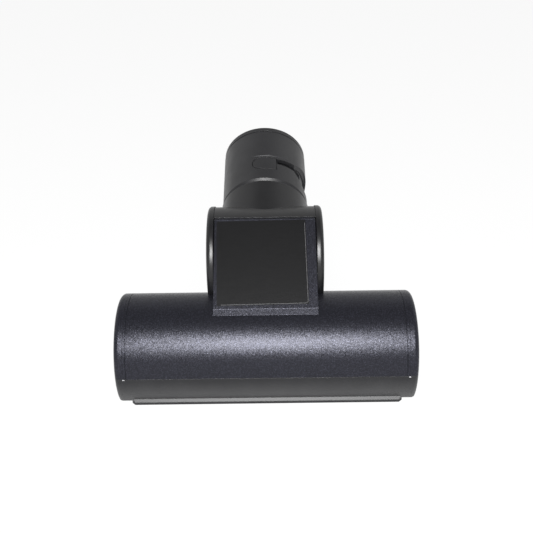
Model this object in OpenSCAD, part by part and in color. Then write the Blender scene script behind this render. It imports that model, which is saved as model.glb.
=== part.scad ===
/* [What to draw] */
// The piece to draw, or all of them

/* [Hood over the roller] */
// Outer radius of the round hood
hood_r = 27.8; // [25:0.1:31]
// Width of the head from end to end
head_width = 145; // [135:1:160]
// Wall thickness of the hood and of the lower housing
shell_wall = 2; // [1.6:0.1:2.4]
// Width of each end cap
end_cap_width = 4.3; // [3.6:0.1:6]
// Rounding of the outer edge at both ends
end_rounding = 2.3; // [1.2:0.1:3]
// Height of the hood axis above the floor
hood_height = 16.8; // [16:0.1:18]

/* [Sole plate] */
// Thickness of the sole plate
sole_thickness = 1.2; // [1:0.1:1.8]
// Front to back size of the mouth
mouth_depth = 30; // [26:0.5:32]
// How far the front lip stands out past the hood
lip_overhang = 2; // [1.6:0.1:2.6]
// Depth of the land behind the mouth
rear_land = 10; // [8:0.5:12]

/* [Neck] */
// Radius of the round turbine housing
drum_r = 26.2; // [25.6:0.1:27]
// Half width of the turbine housing between its side covers
drum_half_width = 25.6; // [24.5:0.1:27]
// Distance from the hood axis to the turbine axis
neck_reach = 47; // [46.4:0.1:50]
// Steepness of the line from the hood axis to the turbine axis
neck_angle = 48.6; // [46:0.2:52]
// Slope of the flat label panel
panel_slope = 40.6; // [38:0.2:43]
// Distance of the label panel from the turbine axis
panel_offset = 21.6; // [21.4:0.1:22.6]
// Thickness of the side covers
cover_thickness = 3.4; // [2.8:0.1:4.2]

/* [Hose connector] */
// Steepness of the connector above level
tube_elevation = 20.7; // [16:0.2:26]
// Distance from the turbine axis to the connector mouth
tube_reach = 79.5; // [76:0.1:86]
// Outer radius of the bleed collar
collar_r = 23.2; // [22.8:0.1:24]
// Radius of the socket for the wand
socket_r = 17.5; // [16:0.1:17.8]
// Travel of the lock button
button_travel = 0.8; // [0.5:0.1:0.9]

/* [Roller and drive] */
// Radius of the roller body
roller_r = 10.5; // [9:0.1:11.5]
// Radius at the tips of the bristles
bristle_r = 18.2; // [17:0.1:18.4]
// Radius of the steel axle pins and of the turbine shaft
axle_r = 2; // [1.5:0.1:2.4]
// Number of bristle rows around the roller
bristle_rows = 4; // [3:1:5]
// Spacing of the bristle tufts along a row
tuft_pitch = 5.5; // [5:0.1:7]
// Radius of the turbine wheel
turbine_r = 16.6; // [15:0.1:17]
// Number of turbine blades
blade_count = 12; // [9:1:14]
// Radius of the belt track on the roller pulley
roller_pulley_r = 13.6; // [12.8:0.1:14.2]
// Radius of the belt track on the turbine pulley
turbine_pulley_r = 5.6; // [5:0.1:6.2]

/* [Hidden] */

$fn = 96;
running_gap = 0.05;
collar_gap = 0.1;
seam = 0.3;
eps = 0.01;
far = 200;

head_half = head_width / 2;
cap_seam = head_half - end_cap_width;
hood_inner_r = hood_r - shell_wall;
cavity_half = head_half - shell_wall;
hood_z = hood_height;
hood_y = -(mouth_depth + rear_land) / 2;
cut_z = sole_thickness - hood_z;
housing_foot = sqrt(hood_r * hood_r - cut_z * cut_z);
lip_front = housing_foot + lip_overhang;

drum_y = neck_reach * cos(neck_angle);
drum_z = neck_reach * sin(neck_angle);
drum_wall = 2.4;
cavity_r = drum_r - drum_wall;
plinth_plate = 2.2;
flat_out = panel_offset - plinth_plate;
flat_in = flat_out - shell_wall;
plinth_half = drum_half_width - seam;
crest_step = 3.4;
panel_crest = sqrt(drum_r * drum_r - panel_offset * panel_offset) - crest_step;
panel_foot = 36.3;
panel_length = panel_foot + panel_crest;
foot_slope = 22;
cover_r = drum_r + 0.4;
cover_rounding = 2;

roller_z = bristle_r + seam - hood_z;
roller_half = cavity_half - 10.5;
belt_x = drum_half_width - 6.6;
belt_width = 5;
belt_thick = 1.3;
pulley_width = belt_width + 2.4;
flange_rise = 1.5;
pin_depth = 10;
block_side = 12;
block_thick = 4.4;
block_x = roller_half + 1.9;
tuft_r = 1.5;
tuft_root = 2.5;
row_twist = 1.5;

stub_r = collar_r + 0.6;
stub_bore_r = 20;
clip_bore_r = 21.7;
stub_end = 34.1;
stub_bevel = 1.2;
lip_start = 26;
tube_start = 23.4;
tube_upper_r = collar_r - 2.1;
tube_lower_r = stub_bore_r - collar_gap;
tube_end = tube_reach - 1;
wand_stop = 37;
collar_start = stub_end + 2 * seam;
collar_bevel = 1.4;
collar_end = tube_reach - 3.5;
button_s = 48.2;
button_half_x = 6.4;
button_half_s = 4.5;
flange_thick = 0.8;
stem_r = 2;
leaf_thick = 0.18;
leaf_r = tube_upper_r - running_gap - flange_thick;
track_floor = leaf_r - leaf_thick - button_travel - running_gap;
collar_turn = 40;

screw_r = 1.4;
screw_head_r = 2.6;
screw_head_h = 1.1;
screw_gap = 0.2;
recess_half = 1.5;

// Places a shape drawn around the hood axis
module at_hood() {
    translate([0, hood_y, hood_z])
        children();
}

// Places a shape drawn around the roller axis
module at_roller() {
    at_hood()
        translate([0, 0, roller_z])
            children();
}

// Places a shape drawn around the turbine axis
module at_drum() {
    at_hood()
        translate([0, drum_y, drum_z])
            children();
}

// Places a shape drawn up from the turbine axis along the connector
module along_tube() {
    at_drum()
        rotate([tube_elevation - 90, 0, 0])
            children();
}

// Space for a screw: its countersink, head down at the origin, and its hole above
module screw_seat() {
    cylinder(h = far, r = screw_r + screw_gap);
    translate([0, 0, -1])
        cylinder(h = 1 + running_gap, r = screw_head_r + running_gap);
    translate([0, 0, running_gap - eps])
        cylinder(h = screw_head_h, r1 = screw_head_r + running_gap, r2 = screw_r + running_gap);
}

// Turns a section in the front to back plane into a bar across the head
module bar(width) {
    rotate([90, 0, 90])
        linear_extrude(height = width, center = true)
            children();
}

// A round bar across the head between two places
module rod(r, from, to) {
    translate([from, 0, 0])
        rotate([0, 90, 0])
            cylinder(h = to - from, r = r);
}

// A ring across the head between two places
module collar_ring(r_out, r_in, from, to) {
    difference() {
        rod(r_out, from, to);
        rod(r_in, from - 1, to + 1);
    }
}

// Turns a section about the connector axis, from one angle on by another
module ring_sector(from, sweep) {
    rotate([0, 0, from - 90])
        rotate_extrude(angle = sweep)
            children();
}

// Outline of a round bar with rounded ends, to be turned about its axis
module round_bar_section(half, r, rounding) {
    translate([0, -half])
        square([r - rounding, 2 * half]);
    translate([0, rounding - half])
        square([r, 2 * (half - rounding)]);
    for (end = [-1, 1])
        translate([r - rounding, end * (half - rounding)])
            circle(r = rounding);
}

// Full round bar of the head with its rounded ends
module head_bar() {
    rotate([0, 90, 0])
        rotate_extrude()
            intersection() {
                round_bar_section(head_half, hood_r, end_rounding);
                translate([0, -far])
                    square([far, 2 * far]);
            }
}

// Block of space above or below a level of the hood, between two places across
module slab(from_x, to_x, from_z, to_z) {
    translate([from_x, -far / 2, from_z])
        cube([to_x - from_x, far, to_z - from_z]);
}

// Everything farther out than a plane parallel to the label panel
module beyond_panel(distance) {
    rotate(panel_slope)
        translate([-far, distance])
            square([2 * far, far]);
}

// Step in the turbine housing that takes the panel plate
module plate_step() {
    rotate(panel_slope)
        translate([panel_crest - far, flat_out])
            square([far, far]);
}

// Outer section of the turbine housing
module drum_outline() {
    difference() {
        circle(r = drum_r);
        plate_step();
    }
}

// Inner section of the turbine housing
module drum_cavity() {
    difference() {
        circle(r = cavity_r);
        beyond_panel(flat_in);
    }
}

// Point of the label panel's section, measured from the hood axis
function panel_point(along, out) = [
    drum_y + along * cos(panel_slope) - out * sin(panel_slope),
    drum_z + along * sin(panel_slope) + out * cos(panel_slope)
];

// Point farther down the front of the plinth
function down_front(point, by) = [
    point[0] - by * sin(foot_slope),
    point[1] - by * cos(foot_slope)
];

// Outer section of the plinth under the label panel
module plinth_outline() {
    foot = panel_point(-panel_foot, panel_offset);
    front = down_front(foot, 6);
    crest = panel_point(panel_crest, panel_offset);
    polygon([crest, foot, front, [0, 0], [drum_y, drum_z], panel_point(panel_crest, flat_out)]);
}

// Hollow inside the plinth
module plinth_hollow() {
    corner = panel_point(shell_wall - panel_foot, flat_out);
    front = down_front(corner, 9);
    polygon([panel_point(0, flat_out), corner, front, [0, 0], [drum_y, drum_z]]);
}

// Section of the head's upper shell with the plinth
module upper_section() {
    intersection() {
        union() {
            circle(r = hood_r);
            plinth_outline();
        }
        translate([-far, 0])
            square([2 * far, far]);
    }
}

belt_run = sqrt(drum_y * drum_y + (drum_z - roller_z) * (drum_z - roller_z));
belt_lean = atan2(drum_z - roller_z, drum_y);
belt_spread = acos((roller_pulley_r - turbine_pulley_r) / belt_run);

// Wedge of the plane between the two tangent points, seen from a pulley's centre
module belt_wedge() {
    c = far * cos(belt_spread);
    s = far * sin(belt_spread);
    polygon([[0, 0], [c, -s], [far, -s], [far, s], [c, s]]);
}

// Section of the clearance along the belt's path, from one distance off the tracks to another
module belt_band(near_off, far_off) {
    straight = belt_run * sin(belt_spread);
    lap = 0.4;
    inset = 0.02;
    translate([0, roller_z])
        rotate(belt_lean) {
            difference() {
                circle(r = roller_pulley_r + far_off);
                circle(r = roller_pulley_r + near_off);
                belt_wedge();
            }
            translate([belt_run, 0])
                intersection() {
                    difference() {
                        circle(r = turbine_pulley_r + far_off);
                        circle(r = turbine_pulley_r + near_off);
                    }
                    belt_wedge();
                }
            for (side = [0, 1])
                mirror([0, side])
                    rotate(belt_spread - 90)
                        translate([-lap, roller_pulley_r + near_off + inset])
                            square([straight + 2 * lap, far_off - near_off - 2 * inset]);
        }
}

// Air window from the hood into the turbine housing
module air_window() {
    at_roller()
        rotate([belt_lean, 0, 0])
            translate([-plinth_half + 2.4, belt_run - cavity_r - 6, -11.4])
                cube([2 * plinth_half - 4.8, 14, 22.8]);
}

screw_x = block_x + block_thick / 2;
screw_y = 14;
post_r = 2.6;
post_height = 12;
post_depth = 9;
web_half = 1;
web_height = 16;

// Places a shape at each of the four housing screws
module at_housing_screws() {
    at_hood()
        for (side = [-1, 1], end = [-1, 1])
            translate([side * screw_x, end * screw_y, 0])
                children();
}

// Painted upper shell: half round hood with the plinth for the label
module top_housing() {
    color("dimgray") {
        difference() {
            at_hood() {
                difference() {
                    union() {
                        bar(2 * cap_seam)
                            intersection() {
                                circle(r = hood_r);
                                translate([-far, 0])
                                    square([2 * far, far]);
                            }
                        bar(2 * plinth_half)
                            upper_section();
                    }
                    rod(hood_inner_r, -far, far);
                    bar(2 * (plinth_half - shell_wall))
                        plinth_hollow();
                    for (end = [-1, 1])
                        translate([end * (cap_seam - 1.4), 0, 0])
                            collar_ring(hood_r + 1, hood_r - 0.3, -0.2, 0.2);
                }
            }
            at_drum()
                bar(2 * drum_half_width)
                    drum_outline();
            at_hood()
                translate([belt_x, 0, 0])
                    bar(pulley_width)
                        belt_band(-4.5, belt_thick + 0.8);
        }
        at_hood()
            for (end = [-1, 1])
                difference() {
                    intersection() {
                        rod(hood_inner_r + eps, end * screw_x - web_half, end * screw_x + web_half);
                        difference() {
                            slab(-far, far, 0, web_height);
                            translate([-far, web_half * 2 - screw_y, -eps])
                                cube([2 * far, 2 * screw_y - 4 * web_half, far]);
                        }
                    }
                    for (side = [-1, 1])
                        translate([end * screw_x, side * screw_y, -1])
                            cylinder(h = post_depth + 1, r = screw_r);
                }
        at_housing_screws()
            difference() {
                cylinder(h = post_height, r = post_r);
                translate([0, 0, -1])
                    cylinder(h = post_depth + 1, r = screw_r);
            }
    }
}

// Outline of the sole, seen from above
module sole_outline() {
    corner = 1.6;
    half_x = cap_seam - 2.4;
    back = mouth_depth / 2 + rear_land;
    polygon([
        [-half_x, back - corner],
        [corner - half_x, back],
        [half_x - corner, back],
        [half_x, back - corner],
        [half_x, corner - lip_front],
        [half_x - corner, -lip_front],
        [corner - half_x, -lip_front],
        [-half_x, corner - lip_front]
    ]);
}

// Bead that flares the foot of the lower shell out to the front lip
module lip_bead() {
    rise = 1.5;
    shoulder = sqrt(hood_r * hood_r - (cut_z + rise) * (cut_z + rise));
    intersection() {
        bar(far)
            polygon([
                [-lip_front, cut_z],
                [-lip_front, cut_z + 0.2],
                [-shoulder, cut_z + rise],
                [shell_wall / 2 - shoulder, cut_z + rise],
                [shell_wall / 2 - housing_foot, cut_z]
            ]);
        translate([0, 0, cut_z])
            linear_extrude(height = far)
                sole_outline();
    }
}

// Lower shell of the head with its end walls and the roller cradles
module bottom_housing() {
    color("black")
        difference() {
            at_hood() {
                intersection() {
                    difference() {
                        head_bar();
                        rod(hood_inner_r, -cavity_half, cavity_half);
                    }
                    slab(-far, far, cut_z, 0);
                }
                for (side = [0, 1])
                    mirror([side, 0, 0])
                        intersection() {
                            rod(hood_inner_r + eps, screw_x, cavity_half + eps);
                            slab(-far, far, cut_z, cut_z + shell_wall);
                        }
                for (end = [-1, 1])
                    intersection() {
                        translate([end * screw_x, 0, 0])
                            rod(hood_inner_r + eps, -block_thick / 2, block_thick / 2);
                        difference() {
                            slab(-far, far, cut_z, 0);
                            translate([-far, -block_side / 2, roller_z - block_side / 2])
                                cube([2 * far, block_side, far]);
                        }
                    }
                lip_bead();
            }
            at_housing_screws()
                translate([0, 0, cut_z - 1])
                    cylinder(h = far, r = screw_r + screw_gap);
        }
}

// Sole plate with the mouth and the front lip
module sole_plate() {
    mouth_half_x = roller_half - 1;
    color("black")
        difference() {
            translate([0, hood_y, 0])
                linear_extrude(height = sole_thickness)
                    difference() {
                        sole_outline();
                        square([2 * mouth_half_x, mouth_depth], center = true);
                    }
            at_housing_screws()
                translate([0, 0, cut_z - screw_head_h])
                    screw_seat();
        }
}

// One painted end cap, drawn at the right end
module end_cap() {
    at_hood() {
        difference() {
            intersection() {
                head_bar();
                slab(cap_seam, far, 0, far);
            }
            rod(hood_inner_r, cap_seam - 1, cavity_half);
        }
        intersection() {
            collar_ring(hood_inner_r, hood_inner_r - 1.4, cap_seam - 1.5, cavity_half + eps);
            slab(-far, far, 0, far);
        }
        translate([block_x, -4, roller_z + block_side / 2])
            cube([cavity_half - block_x + eps, 8, 2.4]);
    }
}

module end_cap_left() {
    color("gray")
        mirror([1, 0, 0])
            end_cap();
}

module end_cap_right() {
    color("gray")
        end_cap();
}

boss_turns = [92, 178, 332];
boss_reach = 21.4;
boss_r = 2.8;
boss_length = 9;

// Round bars at the places of the screws that hold the side covers, drawn at the drum
module at_bosses(r, extra) {
    for (side = [-1, 1], turn = boss_turns)
        rotate([turn, 0, 0])
            translate([side * (drum_half_width - boss_length / 2), boss_reach, 0])
                rod(r, -boss_length / 2 - extra, boss_length / 2 + extra);
}

// Round housing of the turbine with the fixed stub for the connector
module turbine_housing() {
    color("darkslategray")
        difference() {
            union() {
                difference() {
                    union() {
                        at_drum()
                            bar(2 * drum_half_width)
                                drum_outline();
                        along_tube() {
                            translate([0, 0, 8])
                                cylinder(h = stub_end - stub_bevel - 8, r = stub_r);
                            translate([0, 0, stub_end - stub_bevel])
                                cylinder(h = stub_bevel, r1 = stub_r, r2 = stub_r - 0.9);
                        }
                    }
                    at_drum()
                        bar(far)
                            drum_cavity();
                    along_tube() {
                        translate([0, 0, 12])
                            cylinder(h = lip_start - 12, r = clip_bore_r);
                        cylinder(h = far, r = stub_bore_r);
                    }
                    air_window();
                    at_hood()
                        translate([belt_x, 0, 0])
                            bar(pulley_width)
                                belt_band(-4.5, belt_thick + 0.8);
                }
                at_drum()
                    at_bosses(boss_r, 0);
            }
            at_drum()
                at_bosses(screw_r, 1);
        }
}

bearing_r = 5.5;
bearing_width = 4;
bearing_x = drum_half_width - 2;

// One side cover with its bearing seat, drawn at the right side
module side_cover() {
    outer = drum_half_width + cover_thickness;
    at_drum()
        difference() {
            union() {
                intersection() {
                    rotate([0, 90, 0])
                        rotate_extrude()
                            intersection() {
                                round_bar_section(outer, cover_r, cover_rounding);
                                translate([0, drum_half_width])
                                    square([far, far]);
                            }
                    rod(far, drum_half_width, far);
                }
                rod(bearing_r + 2.2, bearing_x - 0.2, drum_half_width + eps);
                difference() {
                    translate([drum_half_width, 0, 0])
                        collar_ring(cavity_r - collar_gap, cavity_r - 1.6, -2, eps);
                    bar(far)
                        beyond_panel(flat_in - 2);
                    for (turn = boss_turns)
                        rotate([turn, 0, 0])
                            translate([0, boss_reach, 0])
                                rod(boss_r + 0.3, 0, far);
                }
            }
            rod(bearing_r, 0, bearing_x + bearing_width);
            for (turn = boss_turns)
                rotate([turn, 0, 0])
                    translate([outer, boss_reach, 0])
                        rotate([0, -90, 0])
                            screw_seat();
            translate([0, -drum_y, -drum_z])
                rod(hood_r + running_gap, 0, far);
        }
}

module side_cover_left() {
    color("dimgray")
        mirror([1, 0, 0])
            side_cover();
}

module side_cover_right() {
    color("dimgray")
        side_cover();
}

// Bare label plate on the sloping panel
module label_plate() {
    size_x = 2 * drum_half_width - 6.8;
    size_y = panel_length - 2.8;
    corner = 0.8;
    color("black")
        at_drum()
            rotate([panel_slope, 0, 0])
                translate([-1.6, (panel_crest - panel_foot) / 2 + 0.4, panel_offset])
                    rotate([0, 0, 0.8])
                        linear_extrude(height = 0.4) {
                            square([size_x - 2 * corner, size_y], center = true);
                            square([size_x, size_y - 2 * corner], center = true);
                            for (side = [-1, 1], end = [-1, 1])
                                translate([side * (size_x / 2 - corner), end * (size_y / 2 - corner)])
                                    circle(r = corner);
                        }
}

track_half = 5.8;
port_half = 6;
port_turn = 124;
port_sweep = 24;

// Swivel tube: wand socket above, snapped into the stub below
module swivel_tube() {
    wall = tube_upper_r - socket_r + 2;
    color("black")
        along_tube()
            difference() {
                union() {
                    translate([0, 0, tube_start])
                        cylinder(h = far - tube_start, r = tube_lower_r);
                    translate([0, 0, stub_end + seam])
                        cylinder(h = far, r = tube_upper_r);
                }
                translate([0, 0, tube_end])
                    cylinder(h = 2 * far, r = far);
                cylinder(h = far, r = socket_r - 1);
                translate([0, 0, wand_stop])
                    cylinder(h = far, r = socket_r);
                translate([0, 0, lip_start - 1.3])
                    difference() {
                        cylinder(h = 1.2, r = far);
                        cylinder(h = 1.2, r = tube_lower_r - 1);
                    }
                ring_sector(-26, collar_turn + 52)
                    translate([track_floor, button_s - track_half])
                        square([wall, 2 * track_half]);
                ring_sector(-9, collar_turn + 18)
                    translate([socket_r - 1, button_s - stem_r - 0.5])
                        square([wall, 2 * stem_r + 1]);
                ring_sector(port_turn, port_sweep)
                    translate([socket_r - 1, hole_s - port_half])
                        square([wall, 2 * port_half]);
            }
}

// Spring clip that keeps the swivel tube in the stub
module retaining_ring() {
    color("silver")
        along_tube()
            ring_sector(30, 300)
                translate([tube_lower_r - 1, lip_start - 1.25])
                    square([2.3, 1.1]);
}

// Outline of the lock button, round at one end and straight at the other
module button_outline(grow) {
    rounding = button_half_s + grow;
    centre_x = button_half_s - button_half_x;
    translate([centre_x, button_s])
        circle(r = rounding);
    translate([centre_x, button_s - rounding])
        square([button_half_x + grow - centre_x, 2 * rounding]);
}

// Turns an outline on the top of the connector into a bar that stands outwards
module upward(height) {
    rotate([90, 0, 0])
        linear_extrude(height = height)
            children();
}

hole_r = 8.5;
hole_s = button_s + 1.2;

// Outline of the slot that runs from the button and widens into the round hole
module slot_outline() {
    waist_x = 0.7 * collar_r;
    wide_x = 0.95 * collar_r;
    polygon([
        [button_half_x - 1, button_s + 0.2],
        [button_half_x - 1, button_s + 3.7],
        [waist_x, button_s + 5.4],
        [wide_x, hole_s + hole_r],
        [far, hole_s + hole_r],
        [far, hole_s - hole_r],
        [wide_x, hole_s - hole_r],
        [waist_x, button_s]
    ]);
}

// Bleed collar: turned by hand, its slot opens over the port in the swivel tube
module bleed_collar() {
    color("black")
        along_tube()
            difference() {
                union() {
                    translate([0, 0, collar_start])
                        cylinder(h = collar_bevel, r1 = collar_r - 1, r2 = collar_r);
                    translate([0, 0, collar_start + collar_bevel])
                        cylinder(h = collar_end - collar_start - collar_bevel - 0.8, r = collar_r);
                    translate([0, 0, collar_end - 0.8])
                        cylinder(h = 0.8, r1 = collar_r, r2 = collar_r - 0.5);
                }
                cylinder(h = far, r = tube_upper_r + collar_gap);
                upward(far)
                    button_outline(seam);
                upward(far)
                    slot_outline();
                translate([0, 0, hole_s])
                    rod(hole_r, 0, far);
            }
}

// Ring that closes the mouth of the connector
module mouth_ring() {
    outer = collar_r - 0.1;
    rounding = 0.9;
    color("black")
        along_tube()
            rotate_extrude()
                difference() {
                    union() {
                        translate([socket_r, collar_end + 0.1])
                            square([outer - socket_r, tube_reach - rounding - collar_end - 0.1]);
                        translate([socket_r, collar_end + 0.1])
                            square([outer - rounding - socket_r, tube_reach - collar_end - 0.1]);
                        translate([outer - rounding, tube_reach - rounding])
                            circle(r = rounding);
                    }
                    translate([0, -far])
                        square([tube_upper_r, far + tube_end]);
                }
}

// Lock button: pressed in, its nose pushes the wand's catch back
module lock_button() {
    color("black")
        along_tube() {
            intersection() {
                upward(far)
                    button_outline(0);
                ring_band(collar_r, tube_upper_r - flange_thick / 2);
            }
            intersection() {
                upward(far)
                    button_outline(flange_thick);
                ring_band(tube_upper_r - running_gap, tube_upper_r - running_gap - flange_thick);
            }
            intersection() {
                translate([0, 0, button_s])
                    rotate([90, 0, 0])
                        cylinder(h = tube_upper_r - flange_thick / 2, r = stem_r);
                ring_band(tube_upper_r - flange_thick / 2, socket_r + button_travel + collar_gap);
            }
        }
}

// Tube of space between two radii around the connector's axis
module ring_band(r_out, r_in) {
    difference() {
        cylinder(h = far, r = r_out);
        cylinder(h = far, r = r_in);
    }
}

// Leaf spring under the lock button, drawn pressed flat
module button_spring() {
    color("silver")
        along_tube()
            intersection() {
                difference() {
                    upward(far)
                        translate([-4.5, button_s - 3.6])
                            square([9, 7.2]);
                    translate([0, 0, button_s])
                        rotate([90, 0, 0])
                            cylinder(h = far, r = stem_r + collar_gap);
                }
                ring_band(leaf_r, leaf_r - leaf_thick);
            }
}

// Places of the tufts along the roller, counted outwards from the belt on each side
tuft_gap = pulley_width / 2 + 3.6;
tuft_limit = roller_half - 2;
left_tufts = [for (x = [belt_x - tuft_gap : -tuft_pitch : -tuft_limit]) x];
right_tufts = [for (x = [belt_x + tuft_gap : tuft_pitch : tuft_limit]) x];

// Places a shape at every bristle tuft; the rows run as a helix away from the belt
module at_tufts() {
    for (row = [0 : bristle_rows - 1], x = concat(left_tufts, right_tufts))
        rotate([row * 360 / bristle_rows + row_twist * abs(x - belt_x), 0, 0])
            translate([x, 0, 0])
                children();
}

module roller_core() {
    color("gray")
        at_roller()
            difference() {
                rod(roller_r, -roller_half, roller_half);
                for (end = [-1, 1])
                    translate([end * roller_half, 0, 0])
                        rod(axle_r, -pin_depth, pin_depth);
                at_tufts()
                    translate([0, 0, roller_r - tuft_root])
                        cylinder(h = far, r = tuft_r, $fn = 16);
            }
}

module bristle_tufts() {
    color("gainsboro")
        at_roller()
            at_tufts()
                translate([0, 0, roller_r - tuft_root])
                    cylinder(h = bristle_r - roller_r + tuft_root, r = tuft_r, $fn = 16);
}

// Pulley with two flanges, centred on the belt
module pulley(track_r, bore_r) {
    difference() {
        union() {
            rod(track_r, belt_x - pulley_width / 2, belt_x + pulley_width / 2);
            for (end = [-1, 1])
                translate([belt_x + end * (pulley_width / 2 - 0.4), 0, 0])
                    rod(track_r + flange_rise, -0.4, 0.4);
        }
        rod(bore_r, -far, far);
    }
}

module roller_pulley() {
    color("white")
        at_roller()
            pulley(roller_pulley_r, roller_r);
}

module turbine_pulley() {
    color("white")
        at_drum()
            pulley(turbine_pulley_r, axle_r);
}

// Outline of the belt's loop at a distance off the tracks of the pulleys
module belt_loop(off) {
    hull() {
        translate([0, roller_z])
            circle(r = roller_pulley_r + off);
        translate([drum_y, drum_z])
            circle(r = turbine_pulley_r + off);
    }
}

// Flat belt around both pulleys
module drive_belt() {
    color("black")
        at_hood()
            translate([belt_x, 0, 0])
                bar(belt_width)
                    difference() {
                        belt_loop(running_gap + belt_thick);
                        belt_loop(running_gap);
                    }
}

// Steel pin at one end of the roller
module axle_pin() {
    at_roller()
        rod(axle_r, roller_half - pin_depth, block_x + block_thick + 0.3);
}

module axle_pin_left() {
    color("silver")
        mirror([1, 0, 0])
            axle_pin();
}

module axle_pin_right() {
    color("silver")
        axle_pin();
}

// Square bearing block with its flange, drawn at the right end
module bearing_block() {
    flange = block_side + 3;
    at_roller()
        difference() {
            union() {
                translate([block_x, -block_side / 2, -block_side / 2])
                    cube([block_thick, block_side, block_side]);
                translate([block_x - 1.2, -flange / 2, -flange / 2])
                    cube([1.2, flange, flange]);
            }
            rod(axle_r + running_gap, 0, far);
        }
}

module bearing_block_left() {
    color("ivory")
        mirror([1, 0, 0])
            bearing_block();
}

module bearing_block_right() {
    color("ivory")
        bearing_block();
}

wheel_from = 10.6 - drum_half_width;
wheel_to = belt_x - pulley_width / 2 - 3.3;
hub_r = 5;
disc_thick = 1.4;
blade_thick = 1.2;

// Section of one curved blade, between the hub and the rim
module blade() {
    sweep_r = (turbine_r - hub_r) * 0.85;
    intersection() {
        difference() {
            circle(r = turbine_r - 0.6);
            circle(r = hub_r - 1.2);
        }
        translate([(turbine_r + hub_r) / 2 - 1, sweep_r * 0.8])
            difference() {
                circle(r = sweep_r);
                circle(r = sweep_r - blade_thick);
                translate([-far, 0])
                    square([2 * far, far]);
            }
    }
}

// Turbine wheel: a hub, two discs and the curved blades between them
module turbine_wheel() {
    color("white")
        at_drum()
            difference() {
                union() {
                    rod(hub_r, wheel_from, wheel_to);
                    rod(turbine_r, wheel_from, wheel_from + disc_thick);
                    rod(turbine_r, wheel_to - disc_thick, wheel_to);
                    translate([(wheel_from + wheel_to) / 2, 0, 0])
                        bar(wheel_to - wheel_from - disc_thick)
                            for (turn = [0 : blade_count - 1])
                                rotate(turn * 360 / blade_count)
                                    blade();
                }
                rod(axle_r, -far, far);
            }
}

module turbine_shaft() {
    color("silver")
        at_drum()
            rod(axle_r, 0.2 - bearing_x - bearing_width, bearing_x + bearing_width - 0.2);
}

// Ball bearing of the turbine with its two shields, drawn at the right side
module turbine_bearing() {
    at_drum()
        difference() {
            collar_ring(bearing_r, axle_r + running_gap, bearing_x, bearing_x + bearing_width);
            for (x = [bearing_x, bearing_x + bearing_width])
                collar_ring(bearing_r - 1, axle_r + 1.1, x - 0.3, x + 0.3);
        }
}

module turbine_bearing_left() {
    color("silver")
        mirror([1, 0, 0])
            turbine_bearing();
}

module turbine_bearing_right() {
    color("silver")
        turbine_bearing();
}

// Screw with a countersunk head, head down at the origin
module screw(length) {
    difference() {
        union() {
            cylinder(h = length, r = screw_r);
            cylinder(h = screw_head_h, r1 = screw_head_r, r2 = screw_r);
        }
        for (turn = [0, 90])
            rotate([0, 0, turn])
                translate([-recess_half, -recess_half / 5, -1])
                    cube([2 * recess_half, recess_half * 0.4, 1 + recess_half / 2]);
    }
}

// Long screws through the sole plate and the lower shell into the upper shell
module housing_screws() {
    color("silver")
        at_housing_screws()
            translate([0, 0, cut_z - screw_head_h])
                screw(screw_head_h - cut_z + post_depth - 1.5);
}

// Screws of the two side covers
module cover_screws() {
    outer = drum_half_width + cover_thickness;
    color("silver")
        at_drum()
            for (side = [-1, 1], turn = boss_turns)
                rotate([turn, 0, 0])
                    translate([side * outer, boss_reach, 0])
                        rotate([0, -90 * side, 0])
                            screw(cover_thickness + 6);
}

top_housing();
bottom_housing();
sole_plate();
end_cap_left();
end_cap_right();
turbine_housing();
side_cover_left();
side_cover_right();
label_plate();
swivel_tube();
retaining_ring();
bleed_collar();
mouth_ring();
lock_button();
button_spring();
roller_core();
bristle_tufts();
roller_pulley();
axle_pin_left();
axle_pin_right();
bearing_block_left();
bearing_block_right();
turbine_wheel();
turbine_shaft();
turbine_pulley();
turbine_bearing_left();
turbine_bearing_right();
drive_belt();
housing_screws();
cover_screws();
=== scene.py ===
"""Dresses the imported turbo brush: finishes, bristles, small trim and a plain studio."""

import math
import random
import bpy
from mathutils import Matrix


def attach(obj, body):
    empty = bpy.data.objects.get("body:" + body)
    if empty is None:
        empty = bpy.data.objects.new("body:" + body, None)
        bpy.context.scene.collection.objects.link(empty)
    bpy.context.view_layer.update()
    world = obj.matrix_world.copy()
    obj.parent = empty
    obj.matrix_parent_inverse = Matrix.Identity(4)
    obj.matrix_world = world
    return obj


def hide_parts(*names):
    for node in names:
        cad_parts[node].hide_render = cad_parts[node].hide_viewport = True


bl_info = {
    "name": "Vacuum Turbo Brush",
    "version": (1, 0, 0),
    "blender": (4, 5, 0),
    "location": "View3D > Sidebar > Turbo Brush",
    "description": "Finishes, bristles, trim and studio for a small air driven floor brush",
    "category": "Object",
}

import bmesh
import bpy
from bpy.props import FloatProperty, FloatVectorProperty, IntProperty, PointerProperty
from mathutils import Matrix, Vector

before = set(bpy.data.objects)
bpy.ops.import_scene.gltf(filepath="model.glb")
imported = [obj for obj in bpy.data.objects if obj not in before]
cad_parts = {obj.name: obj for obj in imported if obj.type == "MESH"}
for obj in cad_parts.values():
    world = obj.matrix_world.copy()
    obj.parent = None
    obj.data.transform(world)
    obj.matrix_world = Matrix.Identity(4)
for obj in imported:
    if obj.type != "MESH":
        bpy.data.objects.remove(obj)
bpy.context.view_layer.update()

MM = 0.001
SHARP_ANGLE = math.radians(28)

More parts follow.
